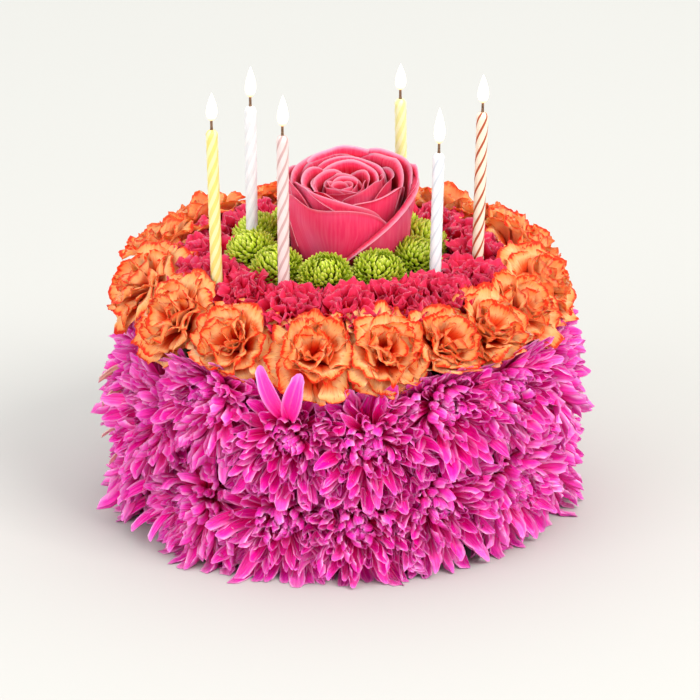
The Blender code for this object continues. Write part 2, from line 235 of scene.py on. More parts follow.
def petal_store(name, meshes):
    """A collection, outside the scene, that holds the petal shapes in order of age."""
    store = bpy.data.collections.new(name)
    for k, mesh in enumerate(meshes):
        obj = bpy.data.objects.new(f"{name}_{k:02d}", mesh)
        store.objects.link(obj)
    return store


def whorl_tree(name):
    """Geometry nodes for one flower head: petals set at the golden angle from eye to rim.

    Petal number k of n has age (k + 0.5) / n. Its tilt from the head's axis, its length and its
    width run from the inner to the outer value with its age. Its tilt, turn, roll and size each
    have a jitter of their own.
    """
    tree = bpy.data.node_groups.new(name, "GeometryNodeTree")
    for label, kind in (
            ("Geometry", "Geometry"), ("Petals", "Collection"), ("Material", "Material"),
            ("Count", "Int"), ("Shapes", "Int"), ("Twins", "Int"), ("Seed", "Int"),
            ("Base Radius", "Float"), ("Base Rise", "Float"), ("Inner Tilt", "Float"),
            ("Outer Tilt", "Float"), ("Tilt Power", "Float"), ("Tilt Jitter", "Float"),
            ("Turn Jitter", "Float"), ("Inner Length", "Float"), ("Outer Length", "Float"),
            ("Inner Width", "Float"), ("Outer Width", "Float"), ("Size Power", "Float"),
            ("Size Jitter", "Float"), ("Roll Jitter", "Float"), ("Wave", "Float"),
            ("Wave Size", "Float")):
        tree.interface.new_socket(label, in_out="INPUT", socket_type="NodeSocket" + kind)
    tree.interface.new_socket("Geometry", in_out="OUTPUT", socket_type="NodeSocketGeometry")
    given = add_node(tree, "NodeGroupInput").outputs
    math_node = "ShaderNodeMath"

    # two draws of three random numbers from -1 to 1 for each petal
    draws = []
    for k in (0, 1):
        seed = add_node(tree, math_node, {0: given["Seed"], 1: 50.0 * k}).outputs[0]
        draw = add_node(tree, "FunctionNodeRandomValue", {
            "Min": (-1.0, -1.0, -1.0), "Max": (1.0, 1.0, 1.0), "Seed": seed},
            data_type="FLOAT_VECTOR").outputs["Value"]
        draws += list(add_node(tree, "ShaderNodeSeparateXYZ", {0: draw}).outputs)
    tilt_draw, turn_draw, size_draw, roll_draw, twin_draw, tint_draw = draws

    points = add_node(tree, "GeometryNodePoints", {"Count": given["Count"]}).outputs[0]
    index = add_node(tree, "GeometryNodeInputIndex").outputs[0]
    half = add_node(tree, math_node, {0: index, 1: 0.5}).outputs[0]
    age = add_node(tree, math_node, {0: half, 1: given["Count"]}, operation="DIVIDE").outputs[0]

    turn = add_node(tree, math_node, {0: index, 1: GOLDEN_ANGLE, 2: given["Seed"]},
                    operation="MULTIPLY_ADD").outputs[0]
    turn = add_node(tree, math_node, {0: turn_draw, 1: given["Turn Jitter"], 2: turn},
                    operation="MULTIPLY_ADD").outputs[0]
    root = add_node(tree, math_node, {0: age}, operation="SQRT").outputs[0]
    out = add_node(tree, math_node, {0: root, 1: given["Base Radius"]},
                   operation="MULTIPLY").outputs[0]
    rise = add_node(tree, "ShaderNodeMapRange", {
        "Value": age, "To Min": given["Base Rise"], "To Max": 0.0}).outputs[0]
    spot = add_node(tree, "ShaderNodeCombineXYZ", {"X": out, "Z": rise}).outputs[0]
    spot = add_node(tree, "ShaderNodeVectorRotate", {"Vector": spot, "Angle": turn},
                    rotation_type="Z_AXIS").outputs[0]

    tilt_share = add_node(tree, math_node, {0: age, 1: given["Tilt Power"]},
                          operation="POWER").outputs[0]
    tilt = add_node(tree, "ShaderNodeMapRange", {
        "Value": tilt_share, "To Min": given["Inner Tilt"], "To Max": given["Outer Tilt"]},
        clamp=False).outputs[0]
    tilt = add_node(tree, math_node, {0: tilt_draw, 1: given["Tilt Jitter"], 2: tilt},
                    operation="MULTIPLY_ADD").outputs[0]
    raised = add_node(tree, math_node, {0: tilt, 1: math.pi / 2.0}, operation="SUBTRACT").outputs[0]
    roll = add_node(tree, math_node, {0: roll_draw, 1: given["Roll Jitter"]},
                    operation="MULTIPLY").outputs[0]
    facing = add_node(tree, "ShaderNodeCombineXYZ", {"X": roll, "Y": raised, "Z": turn}).outputs[0]

    size_share = add_node(tree, math_node, {0: age, 1: given["Size Power"]},
                          operation="POWER").outputs[0]
    odd = add_node(tree, math_node, {0: size_draw, 1: given["Size Jitter"], 2: 1.0},
                   operation="MULTIPLY_ADD").outputs[0]
    sides = []
    for label in ("Length", "Width"):
        side = add_node(tree, "ShaderNodeMapRange", {
            "Value": size_share, "To Min": given["Inner " + label],
            "To Max": given["Outer " + label]}).outputs[0]
        sides.append(add_node(tree, math_node, {0: side, 1: odd}, operation="MULTIPLY").outputs[0])
    size = add_node(tree, "ShaderNodeCombineXYZ", {
        "X": sides[0], "Y": sides[1], "Z": sides[0]}).outputs[0]

    ring = add_node(tree, math_node, {0: age, 1: given["Shapes"]}, operation="MULTIPLY").outputs[0]
    ring = add_node(tree, math_node, {0: ring}, operation="FLOOR").outputs[0]
    twin = add_node(tree, "ShaderNodeMapRange", {
        "Value": twin_draw, "From Min": -1.001, "From Max": 1.001, "To Min": 0.0,
        "To Max": given["Twins"]}).outputs[0]
    twin = add_node(tree, math_node, {0: twin}, operation="FLOOR").outputs[0]
    pick = add_node(tree, math_node, {0: ring, 1: given["Twins"], 2: twin},
                    operation="MULTIPLY_ADD").outputs[0]

    geometry = add_node(tree, "GeometryNodeSetPosition", {
        "Geometry": points, "Position": spot}).outputs[0]
    for label, value in (("age", age), ("tint", tint_draw)):
        geometry = add_node(tree, "GeometryNodeStoreNamedAttribute", {
            "Geometry": geometry, "Name": label, "Value": value}, data_type="FLOAT",
            domain="POINT").outputs[0]
    shapes = add_node(tree, "GeometryNodeCollectionInfo", {
        "Collection": given["Petals"], "Separate Children": True,
        "Reset Children": True}).outputs[0]
    put = add_node(tree, "GeometryNodeInstanceOnPoints", {
        "Points": geometry, "Instance": shapes, "Pick Instance": True, "Instance Index": pick,
        "Rotation": facing, "Scale": size}).outputs[0]
    real = add_node(tree, "GeometryNodeRealizeInstances", {"Geometry": put}).outputs[0]

    # every petal waves in its own way, most at its tip: noise read at the place of the point,
    # shifted by the petal's tint
    along = add_node(tree, "GeometryNodeInputNamedAttribute", {"Name": "along"},
                     data_type="FLOAT").outputs[0]
    tint = add_node(tree, "GeometryNodeInputNamedAttribute", {"Name": "tint"},
                    data_type="FLOAT").outputs[0]
    where = add_node(tree, "GeometryNodeInputPosition").outputs[0]
    shift = add_node(tree, "ShaderNodeCombineXYZ", {"X": tint, "Y": given["Seed"]}).outputs[0]
    where = add_node(tree, "ShaderNodeVectorMath", {0: shift, 1: (0.03, 0.05, 0.0), 2: where},
                     operation="MULTIPLY_ADD").outputs[0]
    step = add_node(tree, math_node, {0: 1.0, 1: given["Wave Size"]},
                    operation="DIVIDE").outputs[0]
    noise = add_node(tree, "ShaderNodeTexNoise", {
        "Vector": where, "Scale": step, "Detail": 1.0}).outputs["Color"]
    noise = add_node(tree, "ShaderNodeVectorMath", {0: noise, 1: (0.5, 0.5, 0.5)},
                     operation="SUBTRACT").outputs[0]
    wave = add_node(tree, math_node, {0: along, 1: given["Wave"]}, operation="MULTIPLY").outputs[0]
    push = add_node(tree, "ShaderNodeVectorMath", {0: noise, "Scale": wave},
                    operation="SCALE").outputs[0]
    waved = add_node(tree, "GeometryNodeSetPosition", {"Geometry": real, "Offset": push}).outputs[0]
    dressed = add_node(tree, "GeometryNodeSetMaterial", {
        "Geometry": waved, "Material": given["Material"]}).outputs[0]
    add_node(tree, "NodeGroupOutput", {"Geometry": dressed})
    return tree


def grow(name, tree, **sizes):
    """Run a geometry node tree on an empty mesh and give back the plain mesh it makes."""
    carrier = add_to_scene(name, bpy.data.meshes.new(f"{name}_seed"))
    modifier = carrier.modifiers.new("grow", "NODES")
    modifier.node_group = tree
    for item in tree.interface.items_tree:
        key = item.name.replace(" ", "_")
        if item.in_out == "INPUT" and key in sizes:
            modifier[item.identifier] = sizes[key]
    bpy.context.view_layer.update()
    depsgraph = bpy.context.evaluated_depsgraph_get()
    mesh = bpy.data.meshes.new_from_object(carrier.evaluated_get(depsgraph))
    carrier.modifiers.remove(modifier)
    bpy.data.objects.remove(carrier)
    return mesh


def frame_for(facing):
    """Matrix whose Z column is the facing direction."""
    side = Vector((0.0, 0.0, 1.0)).cross(facing)
    if side.length < 1e-3:
        side = Vector((1.0, 0.0, 0.0))
    side.normalize()
    return np.array((side, facing.cross(side), facing)).T


def settle_head(name, mesh, cross=0.0, give=6.0, lift=0.3, sink=0.0, droop=0.0, nod=0.0,
                roof=None):
    """Turn a head to face out and press it against its neighbours, all in its mesh.

    Its foot is sunk by sink mm. A soft wall stands towards each neighbour, cross mm past the
    middle, and eases petals back over its last give mm; a point that is eased back by a mm rises
    by lift along the head's axis. The ground is such a wall too, and there a point slides out by
    a whole mm. The head turns aside by about nod, and a petal 30 mm long hangs by droop mm at
    its tip. roof is one more wall, as its slope inwards and its offset, that keeps the head out
    from under the ring above it.
    """
    heart, facing, radius = heads[name]
    rng = random.Random(name)
    facing = (facing + nod * Vector((rng.uniform(-1, 1), rng.uniform(-1, 1),
                                     rng.uniform(-1, 1)))).normalized()
    co = np.empty(len(mesh.vertices) * 3, np.float32)
    mesh.vertices.foreach_get("co", co)
    co = co.reshape(-1, 3).astype(float) / MM
    co = co @ frame_for(facing).T
    co[:, 2] -= droop * (np.linalg.norm(co, axis=1) / 30.0) ** 2
    co += np.array(heart - facing * sink)
    walls = []           # normal, how far along it the wall stands, how deep it gives, slide
    if roof:
        normal = (Vector((-heart.x, -heart.y, 0.0)).normalized() * roof[0]
                  + Vector((0.0, 0.0, 1.0))).normalized()
        walls.append((normal, roof[1], 4.0, 0.25))
    for other, (there, _, size) in heads.items():
        gap = there - heart
        if other != name and gap.length < (radius + size) * 1.05:
            share = (gap.length ** 2 + radius ** 2 - size ** 2) / (2.0 * gap.length)
            normal = gap.normalized()
            walls.append((normal, normal.dot(heart) + share + cross, give, lift))
    walls.append((Vector((0.0, 0.0, -1.0)), -0.3, 2.0, 1.0))
    for normal, offset, soft, slide in walls:
        over = co @ np.array(normal) - (offset - soft)
        back = np.where(over > 0.0, over - soft * (1.0 - np.exp(-np.maximum(over, 0.0) / soft)), 0.0)
        rise = np.minimum(back, 6.0) * slide
        path = facing if slide < 1.0 else facing - normal * facing.dot(normal)
        co = co - back[:, None] * np.array(normal) + rise[:, None] * np.array(path)
    mesh.vertices.foreach_set("co", (co * MM).astype(np.float32).ravel())
    mesh.update()
    mesh.name = name + "_bloom"
    return add_to_scene(name + "_bloom", mesh)


def petal_sockets(tree):
    """The values stored on the petals, and their distance from the petal's middle line."""
    found = {label: add_node(tree, "ShaderNodeAttribute", attribute_name=label).outputs["Fac"]
             for label in ("along", "across", "back", "age", "tint")}
    found["edge"] = add_node(tree, "ShaderNodeMath", {0: found["across"]},
                             operation="ABSOLUTE").outputs[0]
    return found


def petal_noise(tree, at, scale, detail=3.0):
    """Noise over the faces of the petals; its scale runs across, along and from petal to petal."""
    spot = add_node(tree, "ShaderNodeCombineXYZ", {
        "X": at["across"], "Y": at["along"], "Z": at["tint"]}).outputs[0]
    spot = add_node(tree, "ShaderNodeMapping", {"Vector": spot, "Scale": scale}).outputs[0]
    return add_node(tree, "ShaderNodeTexNoise", {
        "Vector": spot, "Scale": 1.0, "Detail": detail}).outputs["Fac"]


# fresh petal: satin, from a thin wax skin over wet cells that let light through; deep magenta
# at the foot, lilac pink towards the tip in streaks, with fine lengthwise grooves; the pale
# tips, streaks and edges are partly the petal's own colour and partly painted highlight
mum_mat, tree, shader = new_material("magenta_petal", IOR=1.42, Specular_IOR_Level=0.4,
                                     Sheen_Weight=0.1, Sheen_Roughness=0.45,
                                     Sheen_Tint=linear("#FFA0DA"), Subsurface_Weight=0.3,
                                     Subsurface_Radius=(1.0, 0.1, 0.5),
                                     Subsurface_Scale=1.2 * MM)
at = petal_sockets(tree)
# deep magenta at the foot to lilac pink at the tip; the pale tip stops are partly the petal's own
# colour and partly painted highlight
body = add_node(tree, "ShaderNodeValToRGB", {"Fac": at["along"]}, stops=(
    (0.0, "#F80058"), (1.0, "#FF7CD4"), (0.36, "#F80080"), (0.70, "#F804A4"),
    (0.90, "#FA28B8"))).outputs["Color"]
streaks = petal_noise(tree, at, (3.2, 1.3, 70.0))
# pale lilac streaks on the outer half: partly the petal's own streaks, partly painted highlight
streak_and_highlight = add_node(tree, "ShaderNodeMapRange", {
    "Value": streaks, "From Min": 0.53, "From Max": 0.68, "To Max": 0.5}).outputs[0]
upper = add_node(tree, "ShaderNodeMapRange", {
    "Value": at["along"], "From Min": 0.40, "From Max": 0.90}).outputs[0]
streak_and_highlight = add_node(tree, "ShaderNodeMath", {0: streak_and_highlight, 1: upper}, operation="MULTIPLY").outputs[0]
faded = add_node(tree, "ShaderNodeMapRange", {
    "Value": at["tint"], "From Min": 0.25, "To Max": 0.55}).outputs[0]
faded = add_node(tree, "ShaderNodeMath", {0: faded, 1: upper}, operation="MULTIPLY").outputs[0]
skin = add_node(tree, "ShaderNodeMix", {0: faded, 6: body, 7: "#FF80CE"},
                data_type="RGBA").outputs[2]
skin = add_node(tree, "ShaderNodeMix", {0: streak_and_highlight, 6: skin, 7: "#FF94D6"},
                data_type="RGBA").outputs[2]
# near-white edges on the outer half: partly the petal's own paler edge, partly painted highlight
pale_edge_and_highlight = add_node(tree, "ShaderNodeMapRange", {
    "Value": at["edge"], "From Min": 0.62, "To Max": 0.70}, interpolation_type="SMOOTHSTEP").outputs[0]
pale_edge_and_highlight = add_node(tree, "ShaderNodeMath", {0: pale_edge_and_highlight, 1: upper},
                     operation="MULTIPLY").outputs[0]
skin = add_node(tree, "ShaderNodeMix", {0: pale_edge_and_highlight, 6: skin, 7: "#FFBCEC"},
                data_type="RGBA").outputs[2]
under = add_node(tree, "ShaderNodeMath", {0: at["back"], 1: 0.30}, operation="MULTIPLY").outputs[0]
skin = add_node(tree, "ShaderNodeMix", {0: under, 6: skin, 7: "#F040B0"},
                data_type="RGBA").outputs[2]
# dark crimson and olive eye of the youngest florets, strongest at their feet: partly their own colour,
# partly painted shade in the eye's recess
bud = add_node(tree, "ShaderNodeValToRGB", {"Fac": at["age"]}, stops=(
    (0.0, "#8E7A1C"), (0.12, "#CC0064"), (0.045, "#9A0E38"))).outputs["Color"]
young_and_shade = add_node(tree, "ShaderNodeMapRange", {
    "Value": at["age"], "From Max": 0.13, "To Min": 0.95, "To Max": 0.0}).outputs[0]
foot_share = add_node(tree, "ShaderNodeMapRange", {
    "Value": at["along"], "From Min": 0.5, "To Min": 1.0, "To Max": 0.55}).outputs[0]
young_and_shade = add_node(tree, "ShaderNodeMath", {0: young_and_shade, 1: foot_share}, operation="MULTIPLY").outputs[0]
skin = add_node(tree, "ShaderNodeMix", {0: young_and_shade, 6: skin, 7: bud},
                data_type="RGBA").outputs[2]
pale = add_node(tree, "ShaderNodeMapRange", {
    "Value": at["tint"], "From Min": -1.0, "To Min": 0.86, "To Max": 1.10}).outputs[0]
skin = add_node(tree, "ShaderNodeMix", {0: 1.0, 6: skin, 7: pale}, data_type="RGBA",
                blend_type="MULTIPLY").outputs[2]
cream = add_node(tree, "ShaderNodeMapRange", {
    "Value": at["tint"], "From Min": 1.5, "From Max": 2.5, "To Max": 0.85}).outputs[0]
skin = add_node(tree, "ShaderNodeMix", {0: cream, 6: skin, 7: "#F2E4AC"},
                data_type="RGBA").outputs[2]
grooves = add_node(tree, "ShaderNodeMath", {0: at["across"], 1: 11.0},
                   operation="MULTIPLY").outputs[0]
grooves = add_node(tree, "ShaderNodeMath", {0: grooves}, operation="COSINE").outputs[0]
finish_surface(tree, shader, skin, streaks, dull=0.42, satin=0.26, bump=0.6, depth=0.3,
               relief=grooves)


def strap(v):
    """Half width of a strap petal: a narrow claw, then even, with a rounded tip."""
    s = min(1.0, v / 0.62)
    return 0.5 * (0.34 + 0.66 * s * s * (3.0 - 2.0 * s)) * (
        1.0 - 0.30 * max(0.0, (v - 0.76) / 0.24) ** 2)


mum_petals = []
for quarter, (base_slope, tip_slope, cup) in enumerate((
        (10.0, 84.0, 0.15), (4.0, 56.0, 0.12), (4.0, 36.0, 0.10), (8.0, 12.0, 0.08))):
    for twin in range(4):
        rng = random.Random(10 * quarter + twin)
        bend = (-28.0, -8.0, 8.0, 32.0)[twin] + rng.uniform(-6.0, 6.0)
        mum_petals.append(petal_mesh(
            f"strap_petal_{quarter}_{twin}", 4, 7, strap,
            lambda v, a=base_slope, b=tip_slope + bend: a + (b - a) * v ** 1.9,
            lambda u, v, c=cup: (c * (0.75 + 0.25 * v) * u * u
                                 - 0.014 * (1.0 - abs(2.0 * abs(u) - 1.0))),
            0.09, 0.018, mum_mat, sway=rng.uniform(-0.12, 0.12)))
strap_store = petal_store("strap_petals", mum_petals)
flower_tree = whorl_tree("flower_whorl")

# broad petals that stand out of their heads: foot and tip in mm, width, and a tint that is
# above 2 on the few cream ones at the left
STRAYS = {
    "chrysanthemum_upper_02": (((-58, -74, 84), (-44, -92, 86), 7.5, -0.4),
                               ((-56, -72, 78), (-41, -95, 77), 7.0, -0.2),
                               ((-64, -60, 86), (-74, -69, 101), 7.0, -0.8)),
    "chrysanthemum_upper_03": (((-27, -98, 79), (-38, -108, 108), 8.4, 0.5),
                               ((-25, -99, 78), (-19.5, -111, 105), 9.2, 0.4),
                               ((-37, -82, 80), (-42, -94, 96), 8.0, -0.8)),
    "chrysanthemum_upper_13": (((-96, -1, 67), (-114, -9, 61), 6.5, 2.5),
                               ((-96, -5, 60), (-112, -17, 52), 6.0, 2.4)),
    "chrysanthemum_lower_11": (((-94, -8, 41), (-113, -12, 35), 6.0, 2.4),
                               ((-92, -16, 35), (-109, -27, 27), 5.5, 2.3),
                               ((-84, -36, 16), (-103, -40, 5), 6.5, 0.0),
                               ((-86, -28, 22), (-105, -31, 9), 6.5, 0.4),
                               ((-82, -40, 26), (-103, -45, 17), 7.0, -0.2)),
    "chrysanthemum_lower_01": (((-74, -52, 18), (-89, -66, 5), 7.0, 0.2),
                               ((-80, -44, 14), (-98, -52, 4.5), 6.5, -0.3),
                               ((-68, -62, 13), (-80, -76, 4), 7.0, 0.1)),
}


def lay_petal(name, foot, tip, width, tint):
    """One long petal laid from foot to tip, with its face turned out from the cake."""
    foot, tip = Vector(foot), Vector(tip)
    along = tip - foot
    across = Vector((foot.x + tip.x, foot.y + tip.y, 0.0)).cross(along).normalized()
    rise = along.cross(across)
    mesh = petal_mesh(
        name, 4, 8, lambda v: 0.5 * math.sin(math.pi * min(0.80, 0.14 + 0.72 * v)) ** 0.8,
        lambda v: 22.0 - 44.0 * v, lambda u, v: 0.05 * u * u, 0.09, 0.02, mum_mat)
    mesh.transform(Matrix.Translation(foot * MM) @ Matrix((
        along * MM, across * width * MM, rise * MM)).transposed().to_4x4())
    points = len(mesh.vertices)
    mark_points(mesh, age=[0.8] * points, tint=[tint] * points)
    marks = mesh.attributes["along"].data      # its foot is hidden, so the dark part is left out
    marks.foreach_set("value", [0.4 + 0.6 * m.value for m in marks])
    return add_to_scene(name, mesh)


def corner_petals(name):
    """Petals that lie near the foam, in the corners above and below where two heads meet."""
    row, k = name[:-2], int(name[-2:])
    following = f"{row}{k + 1:02d}"
    middle = (heads[name][0] + heads.get(following, heads[row + "01"])[0]) / 2
    angle = math.degrees(math.atan2(middle.x, -middle.y))
    turns = (-12.0, -6.0, 0.0, 6.0, 12.0) if "upper" in row else (-6.0, 0.0, 6.0)
    return [(around(angle + 0.7 * turn, 82.0, middle.z + 4.0 * way),
             around(angle + turn, 94.0, min(98.0, max(2.5, middle.z + 26.0 * way))), 8.0, -0.9)
            for way in (-1, 1) for turn in turns]


def join_meshes(name, objects):
    """One object that holds the meshes of several."""
    with bpy.context.temp_override(active_object=objects[0], selected_editable_objects=objects):
        bpy.ops.object.join()
    objects[0].name = name
    objects[0].data.name = name
    return objects[0]


for seed, name in enumerate(n for n in heads if n.startswith("chrysanthemum")):
    loose = random.Random(seed).uniform(9.0, 15.0)
    mesh = grow(
        name, flower_tree, Petals=strap_store, Material=mum_mat, Count=190, Shapes=4, Twins=4,
        Seed=100 + seed, Base_Radius=6.0 * MM, Base_Rise=2.5 * MM,
        Inner_Tilt=math.radians(4), Outer_Tilt=math.radians(96), Tilt_Power=0.66,
        Tilt_Jitter=math.radians(loose), Turn_Jitter=0.18, Inner_Length=6.5 * MM,
        Outer_Length=32.5 * MM, Inner_Width=1.8 * MM, Outer_Width=7.0 * MM, Size_Power=0.62,
        Size_Jitter=0.20, Roll_Jitter=math.radians(24), Wave=5.5 * MM, Wave_Size=13 * MM)
    far = 0.5 + 0.5 * heads[name][0].y / MUM_RING        # 0 at the front, 1 at the back
    roof = (1.0, 5.0 * far - 3.5) if "upper" in name else None
    bloom = settle_head(name, mesh, cross=10.0, give=8.0, lift=0.4, droop=3.0, nod=0.18,
                        roof=roof)
    laid = [lay_petal(f"laid_{k}", *petal)
            for k, petal in enumerate(corner_petals(name) + list(STRAYS.get(name, ())))]
    bloom = join_meshes(name + "_bloom", [bloom] + laid)
    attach(bloom, "root")
    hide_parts(name)

# ===========================================================================
# Orange carnations
# A ring of miniature carnations lies on the shoulder of the foam. Each head is a
# bundle of thirty-six thin fans on narrow claws, ruffled, with a toothed edge.
# ===========================================================================
CROWN_CENTRE = (-1.2, 0.0)
ORANGE_RING = 88.5
ORANGE_RADIUS = 19.5
ORANGE_UPTURN = 42.0
ORANGE_PLACES = (         # angle and height; the last two, at the back, are one part
    (-84, 109), (-57, 106), (-33, 104), (-8, 104), (13, 104), (31, 104), (47, 104.5), (64, 106),
    (85, 108), (109, 109.5), (128, 110), (147, 110), (225, 112), (250, 111), (174.5, 111.5),
    (197.5, 112))

# thin dry petal, nearly matt: peach in the outer part of the fan, orange red at the claw
# and along the toothed edge, with short dark flecks along the veins; the deep red at the claw
# is partly the petal's own colour and partly painted shade deep in the head
orange_mat, tree, shader = new_material(
    "orange_carnation_petal", IOR=1.4, Specular_IOR_Level=0.2, Subsurface_Weight=0.5,
    Subsurface_Radius=(1.0, 0.45, 0.25), Subsurface_Scale=2.0 * MM)
at = petal_sockets(tree)
veins = petal_noise(tree, at, (9.0, 1.6, 60.0))
reach = add_node(tree, "ShaderNodeMath", {0: veins, 1: 0.20, 2: at["along"]},
                 operation="MULTIPLY_ADD").outputs[0]
# deepest red at the claw: partly the petal's own colour, partly painted shade deep in the head
skin = add_node(tree, "ShaderNodeValToRGB", {"Fac": reach}, stops=(
    (0.15, "#C00C00"), (1.0, "#F69050"), (0.52, "#E22C0C"), (0.70, "#F06A34"),
    (0.86, "#FCB880"))).outputs["Color"]
flecks = petal_noise(tree, at, (22.0, 7.0, 90.0), 1.0)
flecks = add_node(tree, "ShaderNodeMapRange", {
    "Value": flecks, "From Min": 0.66, "From Max": 0.72, "To Max": 0.75}).outputs[0]
skin = add_node(tree, "ShaderNodeMix", {0: flecks, 6: skin, 7: "#C03A20"},
                data_type="RGBA").outputs[2]
rim = add_node(tree, "ShaderNodeMapRange", {
    "Value": reach, "From Min": 1.00, "From Max": 1.06}, interpolation_type="SMOOTHSTEP").outputs[0]
skin = add_node(tree, "ShaderNodeMix", {0: rim, 6: skin, 7: "#DC2210"},
                data_type="RGBA").outputs[2]
under = add_node(tree, "ShaderNodeMath", {0: at["back"], 1: 0.35}, operation="MULTIPLY").outputs[0]
skin = add_node(tree, "ShaderNodeMix", {0: under, 6: skin, 7: "#FAB684"},
                data_type="RGBA").outputs[2]
finish_surface(tree, shader, skin, veins, dull=0.72, satin=0.52, bump=0.5, depth=0.3)


def fan(v):
    """Half width of a carnation petal: a thin claw that opens to a broad fan."""
    s = min(1.0, max(0.0, (v - 0.22) / 0.62))
    return 0.5 * (0.16 + 0.84 * s * s * (3.0 - 2.0 * s)) * (1.0 - 0.10 * max(0.0, v - 0.9) / 0.1)


def fan_petals(name, mat, ruffle, folds, teeth, turned=1.1):
    """Carnation petals, three shapes for each third of the age: crumpled, then open, then bent.

    ruffle is the depth of the folds, folds their number, teeth the depth of the toothed edge,
    and turned says how close to the rim the petal bends.
    """
    shapes = []
    for third, (bend, deep, fold) in enumerate(((-14.0, 1.7, 0.14), (-50.0, 1.3, 0.05),
                                                (-88.0, 1.1, 0.0))):
        for twin in range(3):
            rng = random.Random(40 + 10 * third + twin)
            phase, phase_2 = rng.uniform(0, 6.28), rng.uniform(0, 6.28)
            turn = bend + rng.uniform(-14.0, 14.0)
            waves = folds + rng.uniform(-0.4, 0.4)

            def dish(u, v, p=phase, q=phase_2, w=waves, d=deep, f=fold):
                opened = max(0.0, (v - 0.3) / 0.7)
                return ruffle * d * opened ** 1.5 * (
                    math.sin(w * math.pi * u + p)
                    + 0.3 * opened * math.sin(1.8 * w * math.pi * u + q)) + f * u * u * opened

            shapes.append(petal_mesh(
                f"{name}_{third}_{twin}", 18, 6, fan,
                lambda v, b=turn: b * max(0.0, (v - 0.25) / 0.75) ** turned,
                dish, 0.24, 0.014, mat, jag=teeth, crowd=0.6))
    return petal_store(name, shapes)


def carnation(name, petals, mat, **own):
    """A carnation head of fans set close on a narrow foot, with its own count, seed and sizes."""
    return grow(
        name, flower_tree, Petals=petals, Material=mat, Shapes=3, Twins=3, Base_Radius=2.4 * MM,
        Base_Rise=2.0 * MM, Outer_Tilt=math.radians(56), Tilt_Power=0.75, Turn_Jitter=0.25,
        Inner_Length=21 * MM, Size_Power=1.0, Size_Jitter=0.12, Roll_Jitter=math.radians(34), **own)


for k, (angle, height) in enumerate(ORANGE_PLACES):
    heads[f"orange_carnation_{k + 1:02d}"] = (
        around(angle, ORANGE_RING, height, CROWN_CENTRE), outward(angle, ORANGE_UPTURN),
        ORANGE_RADIUS)
orange_store = fan_petals("orange_fans", orange_mat, 0.056, 1.7, 0.024)
back_heads = []
for seed, name in enumerate(n for n in heads if n.startswith("orange")):
    mesh = carnation(
        name, orange_store, orange_mat, Count=36, Seed=200 + seed, Inner_Tilt=math.radians(6),
        Tilt_Jitter=math.radians(8), Outer_Length=27 * MM, Inner_Width=15 * MM,
        Outer_Width=22 * MM, Wave=5.0 * MM, Wave_Size=9 * MM)
    bloom = settle_head(name, mesh, cross=3.5, give=5.0, lift=0.25, sink=8.0, droop=1.0, nod=0.12)
    if seed >= len(ORANGE_PLACES) - 2:
        back_heads.append(bloom)
        continue
    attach(bloom, "root")
    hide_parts(name)
bloom = join_meshes("orange_carnations_back_bloom", back_heads)
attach(bloom, "root")
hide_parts("orange_carnations_back")

# ===========================================================================
# Pink carnations
# A second ring inside the orange one, of crimson-pink carnations with more and
# narrower petals in tighter ruffles. The four at the back left are one part.
# ===========================================================================
PINK_PLACES = (           # angle and distance out; the last four, at the back left, are one part
    (-68, 66), (-42, 64), (-19, 69), (2, 67), (23, 66), (42, 67), (62, 67), (89, 64), (114, 63),
    (137, 63), (163, 63), (190, 63), (216, 63), (242, 63), (267, 64))
PINK_HEIGHT = 112.0
PINK_RADIUS = 19.5
PINK_UPTURN = 70.0

# thin ruffled petal, nearly matt: dark crimson at the claw, bright pink towards the toothed edge
# with a pale rim; the darkening towards the claw is partly the petal's own crimson and partly
# painted shade deep in the head, and the pale rim is partly painted highlight
pink_mat, tree, shader = new_material(
    "crimson_carnation_petal", IOR=1.4, Specular_IOR_Level=0.18, Subsurface_Weight=0.3,
    Subsurface_Radius=(1.0, 0.3, 0.35), Subsurface_Scale=2.0 * MM)
at = petal_sockets(tree)
veins = petal_noise(tree, at, (8.0, 1.4, 60.0))
reach = add_node(tree, "ShaderNodeMath", {0: veins, 1: 0.20, 2: at["along"]},
                 operation="MULTIPLY_ADD").outputs[0]
# darkest at the claw: partly the petal's own crimson, partly painted shade deep in the head
skin = add_node(tree, "ShaderNodeValToRGB", {"Fac": reach}, stops=(
    (0.10, "#7C0008"), (1.0, "#DC2C54"), (0.60, "#A20014"), (0.85, "#C20026"))).outputs["Color"]
# pale pink rim at the toothed edge: partly the petal's own edge colour, partly painted highlight
rim = add_node(tree, "ShaderNodeMapRange", {
    "Value": reach, "From Min": 1.08, "From Max": 1.16, "To Max": 0.6}).outputs[0]
skin = add_node(tree, "ShaderNodeMix", {0: rim, 6: skin, 7: "#FF8CA0"},
                data_type="RGBA").outputs[2]
finish_surface(tree, shader, skin, veins, dull=0.70, satin=0.50, bump=0.5, depth=0.3)

